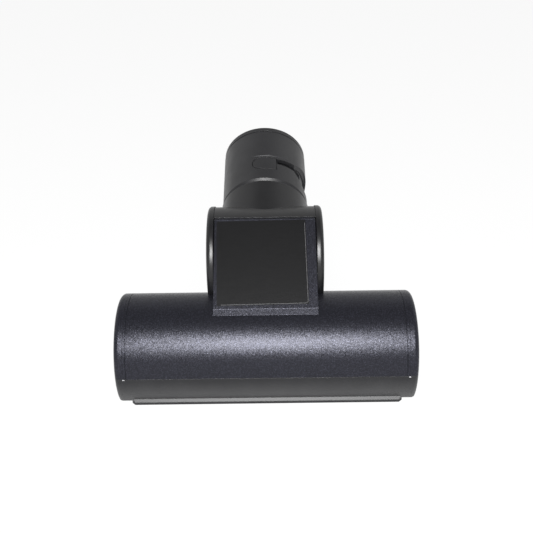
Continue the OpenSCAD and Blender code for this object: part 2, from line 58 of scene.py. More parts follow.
# Places and sizes of the solids, as the part's source has them, in metres
HOOD_AXIS = Vector((0.0, -20.0, 16.8)) * MM
HOOD_RADIUS = 27.8 * MM
CAP_SEAM = 68.2 * MM
ROLLER_AXIS = Vector((0.0, -20.0, 18.5)) * MM
ROLLER_RADIUS = 10.5 * MM
BRISTLE_RADIUS = 18.2 * MM
BELT_PLACE = 19.0 * MM
ROLLER_HALF = 60.0 * MM
TUFT_PITCH = 5.5 * MM
TUFT_RADIUS = 1.5 * MM
TUFT_GAP = 7.3 * MM
TUFT_ROWS = 4
ROW_TWIST = math.radians(1.5) / MM
DRUM_AXIS = Vector((0.0, 11.08, 52.06)) * MM
PANEL_SLOPE = math.radians(40.6)
LABEL_MIDDLE = Vector((-1.6, -12.04, 22.0)) * MM
LABEL_TURN = math.radians(0.8)
LABEL_WIDTH = 44.4 * MM
LABEL_LENGTH = 44.93 * MM
TUBE_TILT = math.radians(20.7)
COLLAR_RADIUS = 23.2 * MM

# Places and sizes of the thin pieces that only this file has
LINE_INSET = 0.45 * MM
LINE_HEIGHT = 0.06 * MM
LINE_CORNER = 1.2 * MM
LINE_END_GAP = 1.5 * MM
CORNER_STEPS = 8
CATCH_SHAPE = (1.3, 0.35, 0.75, 1.0)
CATCH_BELOW_AXIS = 0.4 * MM
BROW_PLACE = 54.3 * MM
BROW_TURNS = (math.radians(-22), math.radians(36))
BROW_SECTION = ((-1.0, -0.1), (0.1, 0.55), (1.0, -0.1))
BROW_END = 0.04 * MM
BROW_STEPS = 28
FILAMENT_SIDES = 3
FILAMENT_STEPS = 3
FILAMENT_ROOT_DEPTH = 0.6 * MM
FILAMENT_TAPER = 0.25

# Sizes of the patterns in the finishes, and the depths of their bumps
# Heights over which the lower housing pales into a painted reflection of the floor, and the
# size of its random patches
PAINTED_REFLECTION_HEIGHTS = (2.5 * MM, 15.5 * MM)
PAINTED_REFLECTION_PATCH = 12.0 * MM
COLOUR_PATCH = 18.0 * MM
GLOSS_PATCH = 6.0 * MM
MOULD_GRAIN = 0.7 * MM
MOULD_DEPTH = 0.006 * MM
CONNECTOR_GRAIN = 0.9 * MM
CONNECTOR_DEPTH = 0.008 * MM
FILM_BRUSHING = 0.6 * MM
FILM_GRAIN = 1.1 * MM
FILM_DEPTH = 0.0008 * MM
TURNING_MARK = 0.8 * MM
TURNING_DEPTH = 0.004 * MM
DUST_PATCH = 4.0 * MM
BELT_CLOTH = 0.6 * MM
BELT_DEPTH = 0.02 * MM
NYLON_SHADE = 1.5 * MM
TRIM_SHADE = 2.0 * MM

# Stage, in metres from the middle of the sole
FLOOR_REACH = 30.0
FLOOR_GLOW = 0.90
LAMP_AIM = Vector((0.0, -0.02, 0.04))
LAMP_ELEVATION = math.radians(38.5)
KEY_DISTANCE = 0.95
KEY_SIZE = (0.48, 0.54)
CORE_DISTANCE = 0.93
CORE_SIZE = (0.14, 0.36)
CAMERA_PLACE = Vector((2.77, -359.2, 232.9)) * MM
CAMERA_YAW = math.radians(-0.357)
CAMERA_PITCH = math.radians(26.72)
CAMERA_ROLL = math.radians(0.918)

# Bands of the room, as the upward and the backward part of a direction
SKIRTING_BAND = (0.08, 0.22)
WALL_TOP_BAND = (0.72, 0.95)
WALL_BACK_BAND = (-0.5, 0.1)


class FinishSettings(bpy.types.PropertyGroup):
    """Colours and surface sizes of the moulded, painted and metal pieces"""

    paint_colour: FloatVectorProperty(
        name="Paint", description="Graphite paint of the hood",
        subtype="COLOR", size=3, min=0.0, max=1.0, default=(0.0185, 0.0188, 0.0245))
    flake_colour: FloatVectorProperty(
        name="Flakes", description="Metal flakes in the paint",
        subtype="COLOR", size=3, min=0.0, max=1.0, default=(0.034, 0.035, 0.047))
    flake_size: FloatProperty(
        name="Flake size", description="Width of one metal flake",
        subtype="DISTANCE", unit="LENGTH", min=0.0001, max=0.003, default=0.00032)
    flake_tilt: FloatProperty(
        name="Flake tilt", description="How far the flakes lean away from the surface",
        subtype="FACTOR", min=0.0, max=1.0, default=0.125)
    plastic_colour: FloatVectorProperty(
        name="Connector plastic", description="Satin black of the connector and neck",
        subtype="COLOR", size=3, min=0.0, max=1.0, default=(0.0128, 0.0128, 0.0140))
    chassis_colour: FloatVectorProperty(
        name="Lower housing plastic", description="Smooth dark grey of the lower housing",
        subtype="COLOR", size=3, min=0.0, max=1.0, default=(0.0090, 0.0091, 0.0104))
    # Pale grey that the lower housing takes near the lip: a painted reflection of the floor
    floor_reflection_colour: FloatVectorProperty(
        name="Rubbed plastic", description="Paler grey where the lower housing rubs on fabric",
        subtype="COLOR", size=3, min=0.0, max=1.0, default=(0.040, 0.040, 0.0415))
    label_colour: FloatVectorProperty(
        name="Label", description="Bare dark film on the sloping panel",
        subtype="COLOR", size=3, min=0.0, max=1.0, default=(0.0048, 0.0048, 0.0052))
    roller_colour: FloatVectorProperty(
        name="Roller", description="Moulded body of the bristle roller",
        subtype="COLOR", size=3, min=0.0, max=1.0, default=(0.090, 0.092, 0.097))
    pale_colour: FloatVectorProperty(
        name="Bearing plastic", description="Pale plastic of the bearings and pulleys",
        subtype="COLOR", size=3, min=0.0, max=1.0, default=(0.62, 0.61, 0.58))
    steel_colour: FloatVectorProperty(
        name="Steel", description="Axles, shaft and screws",
        subtype="COLOR", size=3, min=0.0, max=1.0, default=(0.56, 0.57, 0.58))
    rubber_colour: FloatVectorProperty(
        name="Belt rubber", description="Flat drive belt",
        subtype="COLOR", size=3, min=0.0, max=1.0, default=(0.018, 0.018, 0.018))
    edge_radius: FloatProperty(
        name="Edge radius", description="Rounding that a moulded edge shows",
        subtype="DISTANCE", unit="LENGTH", min=0.0, max=0.002, default=0.00035)


class BristleSettings(bpy.types.PropertyGroup):
    """Sizes of the nylon filaments on the roller"""

    per_tuft: IntProperty(
        name="Filaments per tuft", description="Filaments set in one hole of the roller",
        min=6, max=40, default=24)
    width: FloatProperty(
        name="Filament width", description="Thickness of one filament at its root",
        subtype="DISTANCE", unit="LENGTH", min=0.00005, max=0.0006, default=0.00024)
    splay: FloatProperty(
        name="Splay", description="How far the tips of a tuft spread sideways",
        subtype="DISTANCE", unit="LENGTH", min=0.0, max=0.002, default=0.0007)
    colour: FloatVectorProperty(
        name="Nylon", description="Colour of the filaments",
        subtype="COLOR", size=3, min=0.0, max=1.0, default=(0.13, 0.13, 0.14))


class TrimSettings(bpy.types.PropertyGroup):
    """Sizes of the thin trim on the label, the seams and the collar; the label's line and the
    catches are coloured pale as painted highlights
    """

    brow_width: FloatProperty(
        name="Slot brow", description="Width of the raised brow above the collar's slot",
        subtype="DISTANCE", unit="LENGTH", min=0.0003, max=0.003, default=0.0010)

    line_width: FloatProperty(
        name="Label line", description="Width of the bright line along the label",
        subtype="DISTANCE", unit="LENGTH", min=0.0001, max=0.002, default=0.0002)
    # Light grey of the line: a painted highlight where the label's edge catches the light
    edge_highlight_colour: FloatVectorProperty(
        name="Label line colour", description="Colour of the line along the label",
        subtype="COLOR", size=3, min=0.0, max=1.0, default=(0.10, 0.10, 0.105))
    tick_size: FloatProperty(
        name="Catch size", description="Width of the catch at the foot of an end cap's seam",
        subtype="DISTANCE", unit="LENGTH", min=0.0002, max=0.004, default=0.0009)
    # Pale grey of the catches: a painted glint
    catch_glint_colour: FloatVectorProperty(
        name="Catch colour", description="Colour of the catches",
        subtype="COLOR", size=3, min=0.0, max=1.0, default=(0.30, 0.30, 0.31))


class StageSettings(bpy.types.PropertyGroup):
    """Floor, lamps and camera"""

    floor_colour: FloatVectorProperty(
        name="Floor", description="Pale floor under the brush",
        subtype="COLOR", size=3, min=0.0, max=1.0, default=(0.86, 0.86, 0.86))
    key_power: FloatProperty(
        name="Key lamp", description="Power of the soft lamp in front",
        unit="POWER", min=0.0, max=200.0, default=11.5)
    core_power: FloatProperty(
        name="Lamp core", description="Power of the brighter middle of the key lamp",
        unit="POWER", min=0.0, max=200.0, default=6.6)
    room_light: FloatProperty(
        name="Room", description="Brightness of the pale walls around the table",
        min=0.0, max=2.0, default=0.88)
    ceiling_light: FloatProperty(
        name="Ceiling", description="Brightness of the ceiling and of the open front",
        min=0.0, max=2.0, default=0.18)
    lens: FloatProperty(
        name="Lens", description="Focal length of the camera in millimetres",
        min=10.0, max=200.0, default=53.36)


class Finish:
    """A node based material that is put together step by step"""

    def __init__(self, name):
        self.material = bpy.data.materials.new(name)
        self.material.use_nodes = True
        self.tree = self.material.node_tree
        self.tree.nodes.clear()
        self.output = self.node("ShaderNodeOutputMaterial")
        self.shader = self.node("ShaderNodeBsdfPrincipled")
        self.join(self.shader.outputs["BSDF"], self.output.inputs["Surface"])
        self.place = self.node("ShaderNodeTexCoord").outputs["Object"]

    def node(self, kind, **values):
        made = self.tree.nodes.new(kind)
        for key, value in values.items():
            setattr(made, key, value)
        return made

    def join(self, source, target):
        self.tree.links.new(source, target)

    def plain(self, **values):
        """Sets values that are the same all over the surface"""
        for key, value in values.items():
            socket = self.shader.inputs[key.replace("_", " ")]
            socket.default_value = (*value, 1.0) if hasattr(value, "__len__") else value

    def noise(self, size, detail=3.0, rough=0.55, stretch=(1.0, 1.0, 1.0)):
        """Cloudy pattern whose patches are about one size across"""
        mapping = self.node("ShaderNodeMapping")
        mapping.inputs["Scale"].default_value = stretch
        self.join(self.place, mapping.inputs["Vector"])
        made = self.node("ShaderNodeTexNoise")
        made.inputs["Scale"].default_value = 1.0 / size
        made.inputs["Detail"].default_value = detail
        made.inputs["Roughness"].default_value = rough
        self.join(mapping.outputs["Vector"], made.inputs["Vector"])
        return made.outputs["Fac"]

    def height(self):
        """Height above the floor, in metres"""
        made = self.node("ShaderNodeSeparateXYZ")
        self.join(self.place, made.inputs["Vector"])
        return made.outputs["Z"]

    def cells(self, size):
        """Pattern of small cells, each with its own random colour"""
        made = self.node("ShaderNodeTexVoronoi")
        made.inputs["Scale"].default_value = 1.0 / size
        self.join(self.place, made.inputs["Vector"])
        return made

    def span(self, value, low, high, at=(0.3, 0.7)):
        """Spreads a pattern between two values"""
        made = self.node("ShaderNodeMapRange")
        made.inputs["From Min"].default_value = at[0]
        made.inputs["From Max"].default_value = at[1]
        made.inputs["To Min"].default_value = low
        made.inputs["To Max"].default_value = high
        self.join(value, made.inputs["Value"])
        return made.outputs["Result"]

    def blend_colour(self, factor, first, second):
        """Runs from one colour to another with a pattern"""
        made = self.node("ShaderNodeMix", data_type="RGBA")
        self.join(factor, made.inputs["Factor"])
        for socket, colour in ((made.inputs[6], first), (made.inputs[7], second)):
            if hasattr(colour, "__len__"):
                socket.default_value = (*colour, 1.0)
            else:
                self.join(colour, socket)
        return made.outputs[2]

    def soft_edges(self, radius):
        """Normal that rounds the edges of the moulding"""
        made = self.node("ShaderNodeBevel", samples=4)
        made.inputs["Radius"].default_value = radius
        return made.outputs["Normal"]

    def bumps(self, height, depth, normal=None):
        """Raises the surface with a pattern, by a real depth"""
        made = self.node("ShaderNodeBump")
        made.inputs["Strength"].default_value = 1.0
        made.inputs["Distance"].default_value = depth
        self.join(height, made.inputs["Height"])
        if normal is not None:
            self.join(normal, made.inputs["Normal"])
        return made.outputs["Normal"]

    def tilted(self, cells, amount, normal):
        """Leans each cell of a pattern its own way"""
        centred = self.node("ShaderNodeVectorMath", operation="SUBTRACT")
        centred.inputs[1].default_value = (0.5, 0.5, 0.5)
        self.join(cells.outputs["Color"], centred.inputs[0])
        scaled = self.node("ShaderNodeVectorMath", operation="SCALE")
        scaled.inputs["Scale"].default_value = amount
        self.join(centred.outputs["Vector"], scaled.inputs[0])
        added = self.node("ShaderNodeVectorMath", operation="ADD")
        self.join(scaled.outputs["Vector"], added.inputs[0])
        self.join(normal, added.inputs[1])
        unit = self.node("ShaderNodeVectorMath", operation="NORMALIZE")
        self.join(added.outputs["Vector"], unit.inputs[0])
        return unit.outputs["Vector"]

    def colour(self, source):
        self.join(source, self.shader.inputs["Base Color"])

    def roughness(self, source):
        self.join(source, self.shader.inputs["Roughness"])

    def normal(self, source):
        self.join(source, self.shader.inputs["Normal"])


def lighter(colour, share):
    """The same colour, brighter or darker by a share"""
    return tuple(min(1.0, part * (1.0 + share)) for part in colour)


def graphite_paint(settings):
    """Dark paint with fine metal flakes that glitter in the lamp"""
    finish = Finish("graphite_paint")
    finish.plain(Metallic=0.6, Specular_IOR_Level=0.28)
    flakes = finish.cells(settings.flake_size)
    chance = finish.node("ShaderNodeTexWhiteNoise", noise_dimensions="3D")
    finish.join(flakes.outputs["Position"], chance.inputs["Vector"])
    bright = finish.node("ShaderNodeSeparateColor")
    finish.join(chance.outputs["Color"], bright.inputs["Color"])
    share = finish.span(bright.outputs["Red"], 0.0, 1.0, at=(0.6, 1.0))
    finish.colour(finish.blend_colour(share, settings.paint_colour, settings.flake_colour))
    finish.roughness(finish.span(bright.outputs["Green"], 0.36, 0.28, at=(0.0, 1.0)))
    edges = finish.soft_edges(settings.edge_radius)
    finish.normal(finish.tilted(flakes, settings.flake_tilt, edges))
    return finish.material


def moulded_plastic(name, colour, settings, rough=(0.38, 0.46), grain=MOULD_GRAIN,
                    depth=MOULD_DEPTH):
    """Plain moulded plastic with a fine grain and slightly uneven gloss"""
    finish = Finish(name)
    finish.plain(Specular_IOR_Level=0.40)
    patches = finish.noise(COLOUR_PATCH, detail=4.0)
    finish.colour(finish.blend_colour(
        finish.span(patches, 0.0, 1.0), lighter(colour, -0.12), lighter(colour, 0.14)))
    finish.roughness(finish.span(finish.noise(GLOSS_PATCH), *rough))
    edges = finish.soft_edges(settings.edge_radius)
    finish.normal(finish.bumps(finish.noise(grain, detail=2.0), depth, edges))
    return finish.material


def painted_reflection_plastic(settings):
    """Lower housing's plastic, dark at the top and pale and dull at the lip, where the paleness
    is a painted reflection of the floor broken up by random patches
    """
    finish = Finish("chassis_plastic_painted_reflection")
    finish.plain(Specular_IOR_Level=0.36)
    # Paler towards the lip: a painted reflection of the floor, made uneven by random patches
    patches = finish.span(finish.noise(PAINTED_REFLECTION_PATCH, detail=4.0), -0.08, 0.08)
    painted_reflection_mask = finish.node("ShaderNodeMath", operation="ADD", use_clamp=True)
    finish.join(finish.span(finish.height(), 1.0, 0.0, at=PAINTED_REFLECTION_HEIGHTS), painted_reflection_mask.inputs[0])
    finish.join(patches, painted_reflection_mask.inputs[1])
    share = painted_reflection_mask.outputs[0]
    finish.colour(finish.blend_colour(share, settings.chassis_colour, settings.floor_reflection_colour))
    finish.roughness(finish.span(share, 0.34, 0.46, at=(0.0, 1.0)))
    edges = finish.soft_edges(settings.edge_radius)
    finish.normal(finish.bumps(finish.noise(MOULD_GRAIN, detail=2.0), MOULD_DEPTH, edges))
    return finish.material


def label_film(settings):
    """Bare printed film with a faint brushed sheen"""
    finish = Finish("label_film")
    finish.plain(Specular_IOR_Level=0.25)
    brushed = finish.noise(FILM_BRUSHING, detail=3.0, stretch=(0.10, 1.0, 1.0))
    colour = settings.label_colour
    finish.colour(finish.blend_colour(
        finish.span(brushed, 0.0, 1.0), lighter(colour, -0.05), lighter(colour, 0.06)))
    finish.roughness(finish.span(brushed, 0.30, 0.32))
    finish.normal(finish.bumps(finish.noise(FILM_GRAIN, detail=2.0), FILM_DEPTH))
    return finish.material


def turned_steel(settings):
    """Bright steel with fine turning marks"""
    finish = Finish("turned_steel")
    finish.plain(Metallic=1.0)
    marks = finish.noise(TURNING_MARK, detail=6.0, stretch=(6.0, 0.4, 0.4))
    colour = settings.steel_colour
    finish.colour(finish.blend_colour(
        finish.span(marks, 0.0, 1.0), lighter(colour, -0.18), lighter(colour, 0.12)))
    finish.roughness(finish.span(marks, 0.22, 0.36))
    finish.normal(finish.bumps(marks, TURNING_DEPTH))
    return finish.material


def belt_rubber(settings):
    """Dull rubber with a fine cloth print"""
    finish = Finish("belt_rubber")
    dust = finish.noise(DUST_PATCH, detail=5.0)
    colour = settings.rubber_colour
    finish.colour(finish.blend_colour(
        finish.span(dust, 0.0, 1.0), colour, lighter(colour, 0.9)))
    finish.roughness(finish.span(dust, 0.62, 0.80))
    cloth = finish.cells(BELT_CLOTH).outputs["Distance"]
    finish.normal(finish.bumps(cloth, BELT_DEPTH))
    return finish.material


def nylon_bristle(settings):
    """Stiff nylon whose tone varies at random"""
    finish = Finish("nylon_bristle")
    shade = finish.noise(NYLON_SHADE, detail=2.0)
    finish.colour(finish.blend_colour(
        finish.span(shade, 0.0, 1.0),
        lighter(settings.colour, -0.3), lighter(settings.colour, 0.4)))
    finish.roughness(finish.span(shade, 0.32, 0.45))
    return finish.material


def satin_trim(name, colour):
    """Satin trim of one colour, slightly uneven"""
    finish = Finish(name)
    shade = finish.noise(TRIM_SHADE, detail=2.0)
    finish.colour(finish.blend_colour(
        finish.span(shade, 0.0, 1.0), lighter(colour, -0.1), lighter(colour, 0.1)))
    finish.roughness(finish.span(shade, 0.30, 0.42))
    return finish.material


def dress(material, *names):
    """Puts one finish on the named solids"""
    for name in names:
        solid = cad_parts[name]
        solid.data.materials.clear()
        solid.data.materials.append(material)


def soften(angle, *names):
    """Shades the curved faces smooth and keeps the edges of the named solids sharp"""
    for name in names:
        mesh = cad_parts[name].data
        mesh.shade_smooth()
        mesh.set_sharp_from_angle(angle=angle)


def new_piece(name, shape, material, body):
    """Adds a finished mesh to the scene, riding on a body"""
    mesh = bpy.data.meshes.new(name)
    shape.to_mesh(mesh)
    shape.free()
    mesh.materials.append(material)
    piece = bpy.data.objects.new(name, mesh)
    bpy.context.scene.collection.objects.link(piece)
    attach(piece, body)
    return piece


class TURBO_OT_paint_hood(bpy.types.Operator):
    """Gives the hood and its end caps their graphite paint"""

    bl_idname = "turbo.paint_hood"
    bl_label = "Paint hood"

    def execute(self, context):
        names = ("top_housing", "end_cap_left", "end_cap_right")
        dress(graphite_paint(context.scene.turbo_finish), *names)
        soften(SHARP_ANGLE, *names)
        return {"FINISHED"}


class TURBO_OT_finish_housing(bpy.types.Operator):
    """Gives the lower housing, the sole and the neck their moulded finish"""

    bl_idname = "turbo.finish_housing"
    bl_label = "Finish housing"

    def execute(self, context):
        settings = context.scene.turbo_finish
        # Lower housing, with a painted reflection of the floor near the lip
        dress(painted_reflection_plastic(settings), "bottom_housing")
        sole = moulded_plastic(
            "dull_sole_plastic", settings.chassis_colour, settings, rough=(0.50, 0.60))
        dress(sole, "sole_plate")
        neck = moulded_plastic(
            "satin_neck_plastic", lighter(settings.plastic_colour, -0.45), settings,
            rough=(0.30, 0.37))
        dress(neck, "turbine_housing", "side_cover_left", "side_cover_right")
        soften(SHARP_ANGLE, "bottom_housing", "sole_plate", "turbine_housing",
               "side_cover_left", "side_cover_right")
        return {"FINISHED"}


class TURBO_OT_finish_connector(bpy.types.Operator):
    """Gives the connector, its collar and its button their satin black"""

    bl_idname = "turbo.finish_connector"
    bl_label = "Finish connector"

    def execute(self, context):
        settings = context.scene.turbo_finish
        black = moulded_plastic(
            "satin_connector_plastic", settings.plastic_colour, settings,
            rough=(0.36, 0.44), grain=CONNECTOR_GRAIN, depth=CONNECTOR_DEPTH)
        names = ("swivel_tube", "bleed_collar", "mouth_ring", "lock_button")
        dress(black, *names)
        ring = moulded_plastic(
            "slippery_ring_plastic", lighter(settings.pale_colour, -0.1), settings)
        dress(ring, "retaining_ring")
        soften(SHARP_ANGLE, *names, "retaining_ring")
        return {"FINISHED"}


class TURBO_OT_finish_label(bpy.types.Operator):
    """Leaves the label bare and lays a bright line along two of its edges, a painted highlight
    where the label's edge catches the light
    """

    bl_idname = "turbo.finish_label"
    bl_label = "Finish label"

    def execute(self, context):
        dress(label_film(context.scene.turbo_finish), "label_plate")
        trim = context.scene.turbo_trim
        half_x = LABEL_WIDTH / 2 - LINE_INSET
        half_y = LABEL_LENGTH / 2 - LINE_INSET
        path = [Vector((half_x, half_y - LINE_END_GAP, 0.0))]
        for step in range(CORNER_STEPS + 1):
            turn = step / CORNER_STEPS * math.pi / 2
            path.append(Vector((
                half_x - LINE_CORNER + LINE_CORNER * math.cos(turn),
                LINE_CORNER - half_y - LINE_CORNER * math.sin(turn), 0.0)))
        path.append(Vector((LINE_END_GAP - half_x, -half_y, 0.0)))
        lay = (Matrix.Translation(DRUM_AXIS) @ Matrix.Rotation(PANEL_SLOPE, 4, "X")
               @ Matrix.Translation(LABEL_MIDDLE) @ Matrix.Rotation(LABEL_TURN, 4, "Z"))
        shape = ribbon(path, trim.line_width, LINE_HEIGHT)
        shape.transform(lay)
        # Light grey strip: a painted highlight along the label's edge
        material = satin_trim("label_edge_painted_highlight", trim.edge_highlight_colour)
        new_piece("label_edge_highlight", shape, material, "housing")
        return {"FINISHED"}


class TURBO_OT_finish_drive(bpy.types.Operator):
    """Gives the turbine, the belt, the roller and their bearings their finishes"""

    bl_idname = "turbo.finish_drive"
    bl_label = "Finish drive"

    def execute(self, context):
        settings = context.scene.turbo_finish
        roller = moulded_plastic(
            "roller_plastic", settings.roller_colour, settings, rough=(0.42, 0.52))
        dress(roller, "roller_core", "turbine_wheel")
        pale = moulded_plastic(
            "bearing_plastic", settings.pale_colour, settings, rough=(0.36, 0.46))
        dress(pale, "roller_pulley", "turbine_pulley", "bearing_block_left",
              "bearing_block_right", "turbine_bearing_left", "turbine_bearing_right")
        dress(turned_steel(settings), "axle_pin_left", "axle_pin_right", "turbine_shaft",
              "button_spring", "housing_screws", "cover_screws")
        dress(belt_rubber(settings), "drive_belt")
        soften(SHARP_ANGLE, "roller_core", "turbine_wheel", "roller_pulley",
               "turbine_pulley", "bearing_block_left", "bearing_block_right",
               "turbine_bearing_left", "turbine_bearing_right", "axle_pin_left",
               "axle_pin_right", "turbine_shaft", "button_spring", "housing_screws",
               "cover_screws", "drive_belt")
        return {"FINISHED"}


class TURBO_OT_plant_bristles(bpy.types.Operator):
    """Replaces the plain tufts by tufts of separate nylon filaments"""

    bl_idname = "turbo.plant_bristles"
    bl_label = "Plant bristles"

    def execute(self, context):
        settings = context.scene.turbo_bristles
        chance = random.Random(41)
        shape = bmesh.new()
        for place, turn in tuft_places():
            spin = Matrix.Rotation(turn, 4, "X")
            for _ in range(settings.per_tuft):
                plant_filament(shape, settings, chance, spin, place)
        shape.transform(Matrix.Translation(ROLLER_AXIS))
        piece = new_piece(
            "bristle_filaments", shape, nylon_bristle(settings), "roller")
        piece.data.shade_smooth()
        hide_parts("bristle_tufts")
        return {"FINISHED"}


class TURBO_OT_add_catches(bpy.types.Operator):
    """Adds the small catches at the foot of the end caps' seams, coloured pale grey as a
    painted glint
    """

    bl_idname = "turbo.add_catches"
    bl_label = "Add catches"

    def execute(self, context):
        trim = context.scene.turbo_trim
        # The catches' pale grey is a painted glint
        material = satin_trim("catch_painted_glint", trim.catch_glint_colour)
        for side, name in ((-1, "catch_left"), (1, "catch_right")):
            shape = bmesh.new()
            bmesh.ops.create_uvsphere(
                shape, u_segments=16, v_segments=10, radius=trim.tick_size / 2)
            shape.transform(Matrix.Diagonal(CATCH_SHAPE))
            spot = HOOD_AXIS + Vector((side * CAP_SEAM, -HOOD_RADIUS, -CATCH_BELOW_AXIS))
            shape.transform(Matrix.Translation(spot))
            piece = new_piece(name, shape, material, "housing")
            piece.data.shade_smooth()
        return {"FINISHED"}


class TURBO_OT_add_slot_brow(bpy.types.Operator):
    """Adds the thin raised brow above the button and the collar's slot, made lighter than the
    collar as a painted highlight
    """

    bl_idname = "turbo.add_slot_brow"
    bl_label = "Add slot brow"

    def execute(self, context):
        settings = context.scene.turbo_finish
        shape = bmesh.new()
        rows = []
        for step in range(BROW_STEPS + 1):
            share = step / BROW_STEPS
            turn = BROW_TURNS[0] + (BROW_TURNS[1] - BROW_TURNS[0]) * share
            half = context.scene.turbo_trim.brow_width / 2 * math.sin(math.pi * share) ** 0.6
            half = max(half, BROW_END)
            rows.append([
                shape.verts.new(collar_point(turn, BROW_PLACE + along * half, rise * half))
                for along, rise in BROW_SECTION])
        for first, second in zip(rows, rows[1:]):
            for low, high in ((0, 1), (1, 2), (2, 0)):
                shape.faces.new((first[low], second[low], second[high], first[high]))
        shape.faces.new(rows[0])
        shape.faces.new(reversed(rows[-1]))
        bmesh.ops.recalc_face_normals(shape, faces=shape.faces)
        # Lighter copy of the collar's plastic: a painted highlight along the slot's upper edge
        material = satin_trim("slot_brow_painted_highlight", lighter(settings.plastic_colour, 0.6))
        new_piece("slot_brow", shape, material, "collar")
        return {"FINISHED"}


class TURBO_OT_set_stage(bpy.types.Operator):
    """Sets the floor, the lamps, the room and the camera"""

    bl_idname = "turbo.set_stage"
    bl_label = "Set stage"

    def execute(self, context):
        settings = context.scene.turbo_stage
        lay_floor(settings)
        light_room(context.scene, settings)
        hang_lamps(context.scene, settings)
        place_camera(context.scene, settings)
        context.scene.view_settings.view_transform = "Standard"
        return {"FINISHED"}


def collar_point(turn, along, rise):
    """Point on the collar: its turn from the top, its place along the tube and its height"""
    tilt = TUBE_TILT
    radius = COLLAR_RADIUS + rise
    up = radius * math.cos(turn)
    return DRUM_AXIS + Vector((
        radius * math.sin(turn),
        along * math.cos(tilt) - up * math.sin(tilt),
        along * math.sin(tilt) + up * math.cos(tilt)))


def ribbon(path, width, height):
    """Flat strip with a raised middle along a path in the plane of the label"""
    shape = bmesh.new()
    up = Vector((0.0, 0.0, 1.0))
    rows = []
    for index, point in enumerate(path):
        before = path[max(index - 1, 0)]
        after = path[min(index + 1, len(path) - 1)]
        aside = (after - before).normalized().cross(up)
        rows.append([
            shape.verts.new(point + aside * (share * width / 2) + up * rise)
            for share, rise in ((-1, 0.0), (-0.6, height), (0.6, height), (1, 0.0))])
    for first, second in zip(rows, rows[1:]):
        for low, high in ((0, 1), (1, 2), (2, 3), (3, 0)):
            shape.faces.new((first[low], second[low], second[high], first[high]))
    shape.faces.new(rows[0])
    shape.faces.new(reversed(rows[-1]))
    bmesh.ops.recalc_face_normals(shape, faces=shape.faces)
    return shape


def tuft_places():
    """Every tuft's place along the roller and its turn about the axle"""
    spots = []
    for direction in (-1, 1):
        reach = TUFT_GAP
        while abs(BELT_PLACE + direction * reach) <= ROLLER_HALF - 2 * MM:
            spots.append(BELT_PLACE + direction * reach)
            reach += TUFT_PITCH
    for row in range(TUFT_ROWS):
        for spot in spots:
            yield spot, row * 2 * math.pi / TUFT_ROWS + ROW_TWIST * abs(spot - BELT_PLACE)


def plant_filament(shape, settings, chance, spin, place):
    """One thin filament from its hole in the roller to its tip"""
    angle = chance.uniform(0, 2 * math.pi)
    away = (TUFT_RADIUS - settings.width) * math.sqrt(chance.random())
    root = Vector((away * math.cos(angle), away * math.sin(angle), 0.0))
    lean = chance.uniform(0.2, 1.0) * settings.splay
    drift = chance.uniform(-0.35, 0.35) * settings.splay
    low = ROLLER_RADIUS - FILAMENT_ROOT_DEPTH
    high = BRISTLE_RADIUS - chance.uniform(0.05, 0.7) * MM
    rings = []
    for step in range(FILAMENT_STEPS + 1):
        share = step / FILAMENT_STEPS
        bend = share * share
        middle = root + Vector((
            lean * bend * math.cos(angle) + drift * share,
            lean * bend * math.sin(angle) - drift * share,
            low + (high - low) * share))
        radius = settings.width / 2 * (1.0 - FILAMENT_TAPER * share)
        ring = []
        for corner in range(FILAMENT_SIDES):
            turn = corner * 2 * math.pi / FILAMENT_SIDES + angle
            offset = Vector((radius * math.cos(turn), radius * math.sin(turn), 0.0))
            spun = spin @ (middle + offset)
            ring.append(shape.verts.new(spun + Vector((place, 0.0, 0.0))))
        rings.append(ring)
    for first, second in zip(rings, rings[1:]):
        for corner in range(FILAMENT_SIDES):
            after = (corner + 1) % FILAMENT_SIDES
            shape.faces.new((first[corner], first[after], second[after], second[corner]))
    shape.faces.new(rings[-1])
    shape.faces.new(reversed(rings[0]))


def lay_floor(settings):
    """Pale floor that looks white to the camera and still shows the shadow"""
    mesh = bpy.data.meshes.new("floor")
    corners = ((-1, -1), (1, -1), (1, 1), (-1, 1))
    mesh.from_pydata(
        [(x * FLOOR_REACH, y * FLOOR_REACH, 0.0) for x, y in corners], [], [(0, 1, 2, 3)])
    floor = bpy.data.objects.new("floor", mesh)
    bpy.context.scene.collection.objects.link(floor)
    material = bpy.data.materials.new("floor_card")
    material.use_nodes = True
    tree = material.node_tree
    tree.nodes.clear()
    card = tree.nodes.new("ShaderNodeBsdfDiffuse")
    card.inputs["Color"].default_value = (*settings.floor_colour, 1.0)
    glow = tree.nodes.new("ShaderNodeEmission")
    glow.inputs["Strength"].default_value = 1.0
    share = tree.nodes.new("ShaderNodeMath")
    share.operation = "MULTIPLY"
    share.inputs[1].default_value = FLOOR_GLOW
    tree.links.new(seen_directly(tree), share.inputs[0])
    mixed = tree.nodes.new("ShaderNodeMixShader")
    tree.links.new(share.outputs[0], mixed.inputs["Fac"])
    tree.links.new(card.outputs["BSDF"], mixed.inputs[1])
    tree.links.new(glow.outputs["Emission"], mixed.inputs[2])
    output = tree.nodes.new("ShaderNodeOutputMaterial")
    tree.links.new(mixed.outputs["Shader"], output.inputs["Surface"])
    mesh.materials.append(material)


def seen_directly(tree):
    """1 for what the camera sees, also in a mirror or through glass"""
    path = tree.nodes.new("ShaderNodeLightPath")
    total = path.outputs["Is Camera Ray"]
    for name in ("Is Glossy Ray", "Is Transmission Ray"):
        larger = tree.nodes.new("ShaderNodeMath")
        larger.operation = "MAXIMUM"
        tree.links.new(total, larger.inputs[0])
        tree.links.new(path.outputs[name], larger.inputs[1])
        total = larger.outputs[0]
    return total


